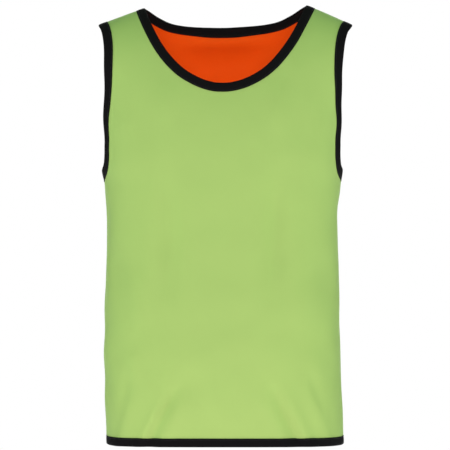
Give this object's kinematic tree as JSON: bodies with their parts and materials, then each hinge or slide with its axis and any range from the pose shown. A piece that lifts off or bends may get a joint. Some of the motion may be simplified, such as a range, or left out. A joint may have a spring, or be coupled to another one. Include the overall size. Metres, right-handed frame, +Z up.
{
  "type": "mesh training bib",
  "caption": "Sleeveless reversible training bib, filled out as if worn: round neck, deep armholes, straight body with an open hem, tape folded over every edge.",
  "frame": {"origin": "midway between the two neck points on the shoulder ridge, in the plane of the side seams, where the wearer's shoulders carry the bib", "axes": "+Z up from the hem to the shoulders, -Y out of the front, +X towards the wearer's left"},
  "size_m": [0.4131, 0.2346, 0.7147],
  "materials": {
    "lime_mesh": "matte close-knit polyester with a slight sheen",
    "orange_mesh": "matte close-knit polyester with a slight sheen",
    "black_tape": "matte woven tape"
  },
  "bodies": {
    "root": {"front_lime": "lime_mesh", "front_orange": "orange_mesh", "back_lime": "lime_mesh", "back_orange": "orange_mesh", "neck_binding": "black_tape", "armhole_binding_right": "black_tape", "armhole_binding_left": "black_tape", "hem_binding": "black_tape"}
  },
  "joints": []
}
